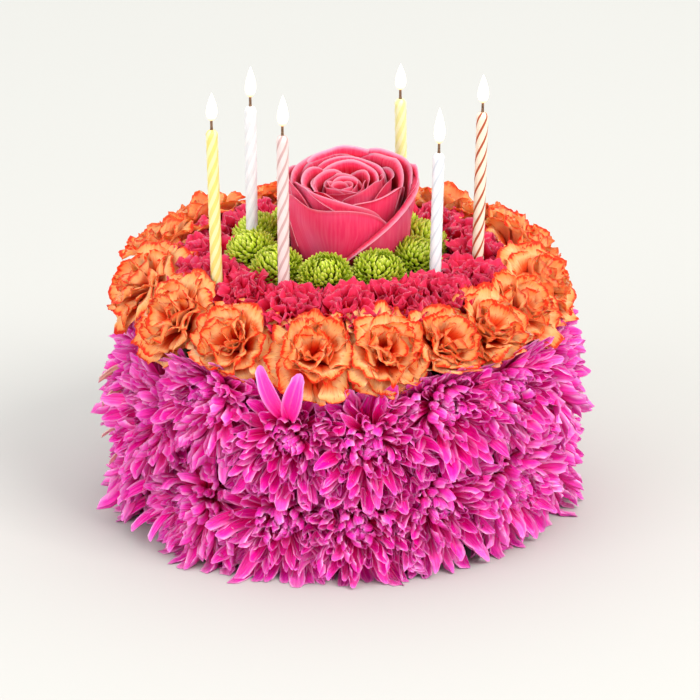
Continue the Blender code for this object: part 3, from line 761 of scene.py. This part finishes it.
for k, (angle, distance) in enumerate(PINK_PLACES):
    heads[f"pink_carnation_{k + 1:02d}"] = (
        around(angle, distance, PINK_HEIGHT, CROWN_CENTRE), outward(angle, PINK_UPTURN),
        PINK_RADIUS)
pink_store = fan_petals("pink_fans", pink_mat, 0.050, 2.3, 0.016, 1.8)
back_heads = []
for seed, name in enumerate(n for n in heads if n.startswith("pink")):
    mesh = carnation(
        name, pink_store, pink_mat, Count=60, Seed=300 + seed, Inner_Tilt=math.radians(4),
        Tilt_Jitter=math.radians(10), Outer_Length=25 * MM, Inner_Width=11 * MM,
        Outer_Width=16 * MM, Wave=4.0 * MM, Wave_Size=7 * MM)
    bloom = settle_head(name, mesh, cross=3.0, give=5.0, lift=0.2, sink=8.0, nod=0.15)
    if seed >= len(PINK_PLACES) - 4:
        back_heads.append(bloom)
        continue
    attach(bloom, "root")
    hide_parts(name)
bloom = join_meshes("pink_carnations_back_bloom", back_heads)
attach(bloom, "root")
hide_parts("pink_carnations_back")

# ===========================================================================
# Button poms
# A wreath of ten lime green button poms. Each is a ball of two hundred and sixty
# short hooded florets that all spring from near its middle.
# ===========================================================================
WREATH_CENTRE = (-4.0, -4.0)
WREATH_RING = 40.0
WREATH_HEIGHT = 125.5
BUTTON_RADIUS = 11.8
BUTTON_COUNT = 10
BUTTON_START = -7.0

# small fleshy florets, satin: lime green, yellower at the tips; the brown olive over the lower
# part of each floret is painted shade deep among the florets
lime_mat, tree, shader = new_material(
    "lime_floret", IOR=1.42, Specular_IOR_Level=0.35, Subsurface_Weight=0.4,
    Subsurface_Radius=(0.8, 1.0, 0.2), Subsurface_Scale=1.0 * MM)
at = petal_sockets(tree)
# brown olive below the middle of each floret: painted shade deep among the florets
skin = add_node(tree, "ShaderNodeValToRGB", {"Fac": at["along"]}, stops=(
    (0.45, "#5A4A06"), (1.0, "#DCE46A"), (0.75, "#93A818"), (0.90, "#B4C832"))).outputs["Color"]
pale = add_node(tree, "ShaderNodeMapRange", {
    "Value": at["tint"], "From Min": -1.0, "To Min": 0.85, "To Max": 1.15}).outputs[0]
skin = add_node(tree, "ShaderNodeMix", {0: 1.0, 6: skin, 7: pale}, data_type="RGBA",
                blend_type="MULTIPLY").outputs[2]
cells = petal_noise(tree, at, (2.0, 3.0, 50.0))
finish_surface(tree, shader, skin, cells, dull=0.58, satin=0.42, bump=0.5, depth=0.15)

for k in range(BUTTON_COUNT):
    angle = BUTTON_START + 360.0 * k / BUTTON_COUNT
    heads[f"button_pom_{k + 1:02d}"] = (
        around(angle, WREATH_RING, WREATH_HEIGHT, WREATH_CENTRE), outward(angle, 62.0),
        BUTTON_RADIUS)
florets = []
for ring, curl in enumerate((70.0, 48.0, 34.0)):
    for twin in range(2):
        florets.append(petal_mesh(
            f"floret_{ring}_{twin}", 3, 5,
            lambda v: 0.5 * (0.35 + 0.65 * max(0.0, math.sin(math.pi * min(1.0, 0.62 * v))) ** 1.5)
            * (1.0 - 0.30 * max(0.0, (v - 0.85) / 0.15) ** 2),
            lambda v, c=curl, t=twin: (c + 12.0 * t) * max(0.0, (v - 0.6) / 0.4),
            lambda u, v: 0.05 * u * u, 0.11, 0.07, lime_mat))
floret_store = petal_store("lime_florets", florets)
balls = []
for seed, name in enumerate(n for n in heads if n.startswith("button")):
    mesh = grow(
        name, flower_tree, Petals=floret_store, Material=lime_mat, Count=260, Shapes=3, Twins=2,
        Seed=400 + seed, Base_Radius=2.5 * MM, Base_Rise=1.0 * MM,
        Inner_Tilt=0.0, Outer_Tilt=math.radians(118), Tilt_Power=0.5,
        Tilt_Jitter=math.radians(4), Turn_Jitter=0.05, Inner_Length=10.4 * MM,
        Outer_Length=11.8 * MM, Inner_Width=1.9 * MM, Outer_Width=2.7 * MM, Size_Power=0.6,
        Size_Jitter=0.06, Roll_Jitter=math.radians(14), Wave=0.8 * MM, Wave_Size=5 * MM)
    balls.append(settle_head(name, mesh, cross=20.0))
wreath = join_meshes("button_poms_bloom", balls)
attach(wreath, "root")
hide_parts("button_poms")

# ===========================================================================
# Rose
# One large open rose stands in the middle. Its petals are broad thick shells that
# wind out from a tight bud; the outer ones roll their rims outwards and down.
# ===========================================================================
ROSE_FOOT = Vector((3.0, 0.0, 113.5))
ROSE_TILT = 9.0               # degrees towards the front
SHELL = 0.4                   # petal thickness

# velvety petal, soft sheen on its rounded cells: coral pink outside with fine lengthwise
# veins, saturated crimson deep in the cup, lighter along the rolled rims; the dark crimson deep
# in the cup is partly the petal's own colour and partly painted shade, and the light rims are
# partly the petal's own colour and partly painted highlight
rose_mat, tree, shader = new_material(
    "coral_rose_petal", IOR=1.4, Specular_IOR_Level=0.2, Sheen_Weight=0.1, Sheen_Roughness=0.4,
    Sheen_Tint=linear("#FFC4D2"), Subsurface_Weight=0.6, Subsurface_Radius=(1.0, 0.25, 0.35),
    Subsurface_Scale=2.0 * MM)
at = petal_sockets(tree)
# outer face: pale pink at the rolled rim, partly the petal's own lighter rim and partly painted
# highlight
outer = add_node(tree, "ShaderNodeValToRGB", {"Fac": at["along"]}, stops=(
    (0.0, "#B40020"), (1.0, "#FF92AC"), (0.45, "#E21C4C"), (0.93, "#EA3462"))).outputs["Color"]
# inner face: near-black crimson at the foot, partly the petal's own colour and partly painted shade in
# the cup; pale at the rolled rim, partly painted highlight
inner = add_node(tree, "ShaderNodeValToRGB", {"Fac": at["along"]}, stops=(
    (0.0, "#70000A"), (1.0, "#FF9CB4"), (0.66, "#900014"), (0.87, "#BC0426"),
    (0.955, "#DE2A54"))).outputs["Color"]
skin = add_node(tree, "ShaderNodeMix", {0: at["back"], 6: inner, 7: outer},
                data_type="RGBA").outputs[2]
depth = add_node(tree, "ShaderNodeMapRange", {
    "Value": at["tint"], "To Min": 0.72, "To Max": 1.04}).outputs[0]
skin = add_node(tree, "ShaderNodeMix", {0: 1.0, 6: skin, 7: depth}, data_type="RGBA",
                blend_type="MULTIPLY").outputs[2]
clouds = petal_noise(tree, at, (1.6, 1.8, 40.0), 1.0)
cloudy = add_node(tree, "ShaderNodeMapRange", {
    "Value": clouds, "From Min": 0.40, "From Max": 0.65, "To Max": 0.45}).outputs[0]
cloudy = add_node(tree, "ShaderNodeMath", {0: cloudy, 1: at["back"]},
                  operation="MULTIPLY").outputs[0]
skin = add_node(tree, "ShaderNodeMix", {0: cloudy, 6: skin, 7: "#F4648C"},
                data_type="RGBA").outputs[2]
veins = petal_noise(tree, at, (46.0, 3.4, 40.0))
veiny = add_node(tree, "ShaderNodeMapRange", {
    "Value": veins, "From Min": 0.40, "From Max": 0.80, "To Max": 0.16}).outputs[0]
skin = add_node(tree, "ShaderNodeMix", {0: veiny, 6: skin, 7: "#FF9CB4"},
                data_type="RGBA").outputs[2]
finish_surface(tree, shader, skin, veins, dull=0.62, satin=0.46, bump=0.25, depth=0.3)


def shell_petal(azimuth, span, foot, rim, height, left=3.0, right=3.0, roll=3.0, curl=90.0,
                tuck=0.0, close=0.0, claw=1.0, peak=0.0, aside=0.0, seed=0, cols=30, rows=20):
    """One rose petal as vertices, faces and marks, in mm on the rose's own axis.

    azimuth and span (half its width) are degrees from the front; foot and rim are radii;
    height is its rise in the middle. left and right round its outline off: 1 falls straight
    to the foot, 4 is nearly square. roll is the length of the rolled rim and curl its bend;
    tuck draws one side in under the next petal, close leans the top back over the bud, claw is
    the share of the width left at the foot, peak the rise of the point on the rim and aside
    how far to the left the petal leans.
    """
    rng = random.Random(seed)
    p, q = rng.uniform(0, 6.28), rng.uniform(0, 6.28)
    grid = {}
    verts, marks, faces = [], [], []

    def spot(t, v):
        u = math.sin(0.5 * math.pi * t)
        power = left if u < 0.0 else right
        tall = height * max(0.0, 1.0 - min(1.0, abs(u)) ** power) ** (1.0 / power)
        tall += min(1.0, rim / 18.0) * (0.8 * math.sin(3.1 * u + p)
                                        + 0.45 * math.sin(7.3 * u + q)) * (1.0 - u * u)
        tall += peak * max(0.0, 1.0 - 2.5 * abs(u - 0.2 * math.sin(q))) ** 1.5
        rolled = min(roll, 0.30 * tall)
        stem = tall - rolled
        run = v * tall
        h = min(run, stem)
        share = h / height
        r = foot + (rim - foot) * math.sin(0.5 * math.pi * min(1.0, share)) ** 0.8
        r -= close * max(0.0, share - 0.55) ** 2 / 0.2
        z = h
        if run > stem:
            bend = math.radians(curl) * rolled / roll
            arc = rolled / bend
            turned = bend * (run - stem) / rolled
            r += arc * (1.0 - math.cos(turned))
            z += arc * math.sin(turned)
        r += tuck * u + (0.35 + 0.3 * share) * math.sin(5.0 * u + 3.0 * v + p)
        a = math.radians(azimuth + span * u * (claw + (1.0 - claw) * min(1.0, share / 0.7)))
        return Vector((r * math.sin(a) - aside * share, -r * math.cos(a), z))

    for side in (0, 1):
        for i in range(rows + 1):
            for j in range(cols + 1):
                border = i in (0, rows) or j in (0, cols)
                if side and border:
                    grid[1, i, j] = grid[0, i, j]
                    continue
                t, v = 0.985 * (2.0 * j / cols - 1.0), i / rows
                here = spot(t, v)
                if not border:
                    normal = (spot(t + 0.01, v) - spot(t - 0.01, v)).cross(
                        spot(t, v + 0.01) - spot(t, v - 0.01)).normalized()
                    here = here + normal * (SHELL / 2.0 if side else -SHELL / 2.0)
                verts.append(here)
                marks.append((v, t, float(side), 0.0, p / 6.28))
                grid[side, i, j] = len(verts) - 1
    for side in (0, 1):
        for i in range(rows):
            for j in range(cols):
                loop = [grid[side, i, j], grid[side, i, j + 1],
                        grid[side, i + 1, j + 1], grid[side, i + 1, j]]
                faces.append(loop if side else loop[::-1])
    return verts, faces, marks


rose_petals = []
# the bud and the turns round it: radius at the rim, height, petals in the turn, half width in
# degrees, bend and length of the rolled rim, lean over the bud, tuck
for turn, (rim, height, count, span, curl, roll, close, tuck) in enumerate((
        (1.8, 38.5, 1, 172, 20, 0.8, 0.0, 0.5), (4.2, 44.0, 2, 150, 50, 0.9, 0.0, 0.8),
        (6.6, 45.2, 2, 140, 70, 1.2, 0.6, 1.2), (9.4, 46.0, 3, 96, 85, 1.5, 0.8, 1.6),
        (12.4, 47.0, 3, 92, 95, 1.9, 0.8, 2.0), (15.8, 48.0, 3, 88, 105, 2.4, 0.6, 2.2),
        (19.4, 49.0, 4, 72, 110, 2.8, 0.3, 2.0), (22.8, 49.6, 4, 70, 115, 3.0, 0.0, 1.6))):
    loose = min(1.0, turn / 4.0)
    for k in range(count):
        rng = random.Random(17 * turn + k)
        rose_petals.append(dict(
            azimuth=25.0 + 360.0 * k / count + 53.0 * turn + rng.uniform(-14.0, 14.0), span=span,
            foot=1.2 + 0.45 * rim, rim=rim + 0.5 * loose * rng.uniform(-1.0, 1.0),
            height=height + loose * rng.uniform(-1.6, 0.8), left=5.0 - loose * rng.uniform(0.0, 2.0),
            right=5.0 - loose * rng.uniform(0.8, 2.6), roll=roll * rng.uniform(0.6, 1.4),
            curl=curl * rng.uniform(0.7, 1.3), tuck=tuck, close=close,
            peak=loose * rng.uniform(0.0, 2.4),
            aside=5.5 * (1.0 - rim / 26.0), seed=10 * turn + k))
# the outer petals, each where it stands
rose_petals += [
    dict(azimuth=-28, span=80, foot=18, rim=24.8, height=50.0, left=4.0, right=2.6, roll=1.6,
         curl=60, tuck=-0.5, seed=101),
    dict(azimuth=-84, span=62, foot=26.4, rim=27.8, height=48.5, left=4.0, right=2.6, roll=1.8,
         curl=110, tuck=-3.0, peak=2.0, seed=113),
    dict(azimuth=-122, span=60, foot=18, rim=26.0, height=49.0, left=3.6, right=3.6, roll=3.0,
         curl=80, seed=108),
    dict(azimuth=-172, span=62, foot=18, rim=25.0, height=50.2, left=4.6, right=4.2, roll=3.0,
         curl=80, peak=1.5, seed=103),
    dict(azimuth=132, span=60, foot=18, rim=26.5, height=50.4, left=4.5, right=3.6, roll=3.0,
         curl=80, peak=1.5, seed=104),
    dict(azimuth=92, span=52, foot=18, rim=29.0, height=49.0, left=3.4, right=3.4, roll=2.4,
         curl=50, peak=3.5, seed=105),
    dict(azimuth=-16, span=66, foot=25, rim=28.0, height=46.6, left=8.0, right=2.8, roll=2.2,
         curl=95, tuck=-1.2, claw=0.05, seed=119),
    dict(azimuth=84, span=112, foot=23.5, rim=28.0, height=49.5, left=1.7, right=2.6, roll=5.4,
         curl=150, tuck=-2.5, seed=107),
]
verts, faces, marks, rim = [], [], [], set()
for spec in rose_petals:
    v, f, m = shell_petal(**spec)
    rim.update(i + len(verts) for i in range(len(v)) if abs(m[i][1]) > 0.98 or m[i][0] in (0, 1))
    faces += [[i + len(verts) for i in loop] for loop in f]
    verts += v
    marks += m
lean = Matrix.Translation(ROSE_FOOT) @ Matrix.Rotation(math.radians(ROSE_TILT), 4, "X")
mesh = bpy.data.meshes.new("rose_bloom")
mesh.from_pydata([(lean @ v) * MM for v in verts], [], faces)
mark_points(mesh, **dict(zip(("along", "across", "back", "age", "tint"), zip(*marks))))
mesh.shade_smooth()
split_rim(mesh, rim)
mesh.materials.append(rose_mat)
rose = add_to_scene("rose_bloom", mesh)
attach(rose, "root")
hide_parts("rose")

# ===========================================================================
# Candles
# Six thin birthday candles of paraffin wax with eight shallow twisted flutes and
# four threads of tinted wax wound round them, each on a waxed cotton wick.
# ===========================================================================
CANDLES = (                   # x, y, height of the wick's tip, lean to the right, flame height
    (-58.0, -38.7, 199.0, -1.4, 13.5), (-42.6, 5.6, 195.5, -0.4, 15.0),
    (-27.5, -51.3, 200.6, -0.3, 15.0), (26.3, 43.7, 186.5, -0.7, 13.0),
    (40.8, -34.4, 186.6, 1.4, 17.5), (60.4, -15.8, 199.8, 1.4, 14.0))
CANDLE_RADIUS = 2.75
WICK_LENGTH = 5.0
CANDLE_SOLE = 86.0
CANDLE_GIRTH_HEIGHT = 120.0   # the height that x is given at
TWIST_PITCH = 34.0            # one turn of a thread
THREADS = 4
FLUTES = 8
FLUTE_DEPTH = 0.12            # above and below the mean radius
WAX_LOOKS = (                 # slot, ground colour, thread colour, breadth of the thread
    ("wax_yellow", "#DECE74", "#E6DFA6", 0.50), ("wax_white", "#D8D9DC", "#E4E4E6", 0.50),
    ("wax_pink", "#DFCBC9", "#C29E9C", 0.25), ("wax_yellow", "#DEDC94", "#E4E3B4", 0.50),
    ("wax_white", "#E0E1E5", "#C6CBD2", 0.16), ("wax_striped", "#E8D8C4", "#A84A24", 0.20))

# the wick: cotton, charred dark brown above the wax
wick_mat, tree, shader = new_material("charred_wick", IOR=1.45)
place = add_node(tree, "ShaderNodeTexCoord").outputs["Object"]
fibre = add_node(tree, "ShaderNodeTexNoise", {
    "Vector": place, "Scale": 1 / (0.6 * MM), "Detail": 2.0}).outputs["Fac"]
tone = add_node(tree, "ShaderNodeValToRGB", {"Fac": fibre},
                stops=((0.3, "#4A3020"), (0.7, "#8A6A50"))).outputs["Color"]
finish_surface(tree, shader, tone, fibre, dull=0.98, satin=0.80, bump=0.8, depth=0.2)


def on_candle(x, y, tilt, height):
    """The point at a height on the middle line of a candle that leans by tilt degrees."""
    return Vector((x + math.tan(math.radians(tilt)) * (height - CANDLE_GIRTH_HEIGHT), y, height))


for number, (x, y, tip_z, tilt, _) in enumerate(CANDLES, 1):
    wax_slot, ground, thread, breadth = WAX_LOOKS[number - 1]
    # paraffin wax: translucent, satin, faintly mottled; the threads are tinted wax
    wax_mat, tree, shader = new_material(
        f"candle_wax_{number}", IOR=1.43, Subsurface_Weight=0.4,
        Subsurface_Radius=(1.0, 0.9, 0.8), Subsurface_Scale=2.0 * MM)
    stripe = add_node(tree, "ShaderNodeAttribute", attribute_name="stripe").outputs["Fac"]
    tone = add_node(tree, "ShaderNodeValToRGB", {"Fac": stripe},
                    stops=((0.95 - breadth, ground), (1.05 - breadth, thread))).outputs["Color"]
    place = add_node(tree, "ShaderNodeTexCoord").outputs["Object"]
    bloom = add_node(tree, "ShaderNodeTexNoise", {
        "Vector": place, "Scale": 1 / (2.5 * MM), "Detail": 3.0}).outputs["Fac"]
    shade = add_node(tree, "ShaderNodeMapRange", {
        "Value": bloom, "From Min": 0.3, "From Max": 0.7, "To Min": 0.94}).outputs[0]
    tone = add_node(tree, "ShaderNodeMix", {0: 1.0, 6: tone, 7: shade}, data_type="RGBA",
                    blend_type="MULTIPLY").outputs[2]
    finish_surface(tree, shader, tone, bloom, dull=0.46, satin=0.30, bump=0.3, depth=0.2)

    foot, tip = on_candle(x, y, tilt, CANDLE_SOLE), on_candle(x, y, tilt, tip_z)
    axis = (tip - foot).normalized()
    side = axis.cross(Vector((0.0, 1.0, 0.0))).normalized()
    fore = axis.cross(side)
    wax_length = (tip - foot).length - WICK_LENGTH
    profile = []                 # (height along the axis, radius, depth of the flutes, is wick)
    rings = 84
    for k in range(rings + 1):
        profile.append((0.4 + (wax_length - 2.4) * k / rings, CANDLE_RADIUS - FLUTE_DEPTH, 1.0, 0))
    for h, r, flute in ((-1.2, 2.35, 0.6), (-0.5, 1.9, 0.3), (-0.1, 1.3, 0.0), (0.0, 0.8, 0.0)):
        profile.append((wax_length + h, r, flute, 0))
    for h, r in ((0.1, 0.7), (1.6, 0.6), (3.4, 0.6), (4.7, 0.5), (5.0, 0.2)):
        profile.append((wax_length + h, r, 0.0, 1))
    columns = 32
    verts, stripes, faces, wick_faces = [], [], [], []
    for h, r, flute, _ in profile:
        for j in range(columns):
            a = 2.0 * math.pi * j / columns
            wound = a - 2.0 * math.pi * h / TWIST_PITCH
            reach = r + flute * FLUTE_DEPTH * math.cos(FLUTES * wound)
            verts.append(foot + axis * h + (side * math.cos(a) + fore * math.sin(a)) * reach)
            stripes.append(0.5 + 0.5 * math.cos(THREADS * wound))
    for i in range(len(profile) - 1):
        for j in range(columns):
            k = (j + 1) % columns
            faces.append([i * columns + j, i * columns + k,
                          (i + 1) * columns + k, (i + 1) * columns + j])
            wick_faces.append(profile[i + 1][3])
    last = (len(profile) - 1) * columns
    for base, order in ((0, -1), (last, 1)):
        verts.append(sum((verts[base + j] for j in range(columns)), Vector()) / columns)
        stripes.append(0.0)
        for j in range(columns):
            loop = [base + j, base + (j + 1) % columns, len(verts) - 1]
            faces.append(loop[::order])
            wick_faces.append(1 if base else 0)
    mesh = bpy.data.meshes.new(f"candle_{number}_wax")
    mesh.from_pydata([v * MM for v in verts], [], faces)
    mark_points(mesh, stripe=stripes)
    mesh.materials.append(wax_mat)
    mesh.materials.append(wick_mat)
    mesh.polygons.foreach_set("material_index", wick_faces)
    mesh.shade_smooth()
    mesh.update()
    candle = add_to_scene(f"candle_{number}_wax", mesh)
    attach(candle, "root")
    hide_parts(f"candle_{number}")

# ===========================================================================
# Flames
# Each wick burns with a small steady flame: a teardrop of glowing soot, near
# white in the body and orange round the wick.
# ===========================================================================
FLAME_RADIUS = 2.5

# glowing soot: gives light of its own, warm at the foot, nearly white above
flame_mat, tree, shader = new_material("candle_flame", Roughness=0.5, Base_Color=linear("#000000"),
                                       Emission_Strength=2.2, Specular_IOR_Level=0.0)
rise = add_node(tree, "ShaderNodeAttribute", attribute_name="rise").outputs["Fac"]
glow = add_node(tree, "ShaderNodeValToRGB", {"Fac": rise}, stops=(
    (0.0, "#E8923C"), (1.0, "#FFFAEE"), (0.22, "#FFF6E0"))).outputs["Color"]
tree.links.new(glow, shader.inputs["Emission Color"])

for number, (x, y, tip_z, tilt, flame_height) in enumerate(CANDLES, 1):
    base = on_candle(x, y, tilt, tip_z) - Vector((0.0, 0.0, 1.0))
    rows, columns = 14, 16
    verts, rises, faces = [base.copy()], [0.0], []
    for i in range(1, rows):
        t = i / rows
        r = FLAME_RADIUS * math.sin(math.pi * t ** 0.62) ** 0.9
        for j in range(columns):
            a = 2.0 * math.pi * j / columns
            verts.append(base + Vector((r * math.cos(a) + 0.25 * math.sin(2.2 * t), r * math.sin(a),
                                        flame_height * t)))
            rises.append(t)
    verts.append(base + Vector((0.25 * math.sin(2.2), 0.0, flame_height)))
    rises.append(1.0)
    top = len(verts) - 1
    for j in range(columns):
        k = (j + 1) % columns
        faces.append([0, 1 + k, 1 + j])
        faces.append([top, top - columns + j, top - columns + k])
        for i in range(rows - 2):
            faces.append([1 + i * columns + j, 1 + i * columns + k,
                          1 + (i + 1) * columns + k, 1 + (i + 1) * columns + j])
    mesh = bpy.data.meshes.new(f"flame_{number}")
    mesh.from_pydata([v * MM for v in verts], [], faces)
    mark_points(mesh, rise=rises)
    mesh.shade_smooth()
    mesh.materials.append(flame_mat)
    flame = add_to_scene(f"flame_{number}", mesh)
    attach(flame, "root")

# ===========================================================================
# Studio: plain pale floor, soft light, camera
# ===========================================================================
studio = bpy.context.scene
floor_mesh = bpy.data.meshes.new("studio_floor")
floor_mesh.from_pydata([(-6, -6, 0), (6, -6, 0), (6, 6, 0), (-6, 6, 0)], [], [(0, 1, 2, 3)])
floor = add_to_scene("studio_floor", floor_mesh)
floor_mat, tree, shader = new_material("pale_paper", Roughness=0.9, IOR=1.4,
                                       Base_Color=linear("#C0C0BD"))
floor_mesh.materials.append(floor_mat)

world = bpy.data.worlds.new("studio_air")
world.use_nodes = True
world.node_tree.nodes["Background"].inputs["Color"].default_value = linear("#FAFAF8")
world.node_tree.nodes["Background"].inputs["Strength"].default_value = 1.36
studio.world = world


def soft_light(name, place, size, power, colour):
    """A square area light that looks at the middle of the cake."""
    lamp = bpy.data.lights.new(name, "AREA")
    lamp.shape = "SQUARE"
    lamp.size = size
    lamp.energy = power
    lamp.color = linear(colour)[:3]
    obj = add_to_scene(name, lamp)
    obj.location = place
    obj.rotation_euler = (Vector((0, 0, 0.09)) - obj.location).to_track_quat("-Z", "Y").to_euler()


soft_light("key_light", (2.0, -2.0, 2.6), 1.8, 98.0, "#FFFCF6")
soft_light("fill_light", (-2.4, -2.4, 1.6), 2.4, 44.0, "#F8FAFF")

CAMERA_DISTANCE = 3.0
CAMERA_RISE = math.radians(20.5)
AIM = Vector((0.0023, 0.0, 0.074))
eye = bpy.data.cameras.new("camera")
eye.lens = 334.8              # with this sensor, a view 0.32 m wide at the cake
eye.sensor_width = 36.0
eye.clip_end = 20.0
camera = add_to_scene("camera", eye)
camera.location = AIM + CAMERA_DISTANCE * Vector((0, -math.cos(CAMERA_RISE), math.sin(CAMERA_RISE)))
camera.rotation_euler = (AIM - camera.location).to_track_quat("-Z", "Y").to_euler()
studio.camera = camera
studio.view_settings.view_transform = "Standard"
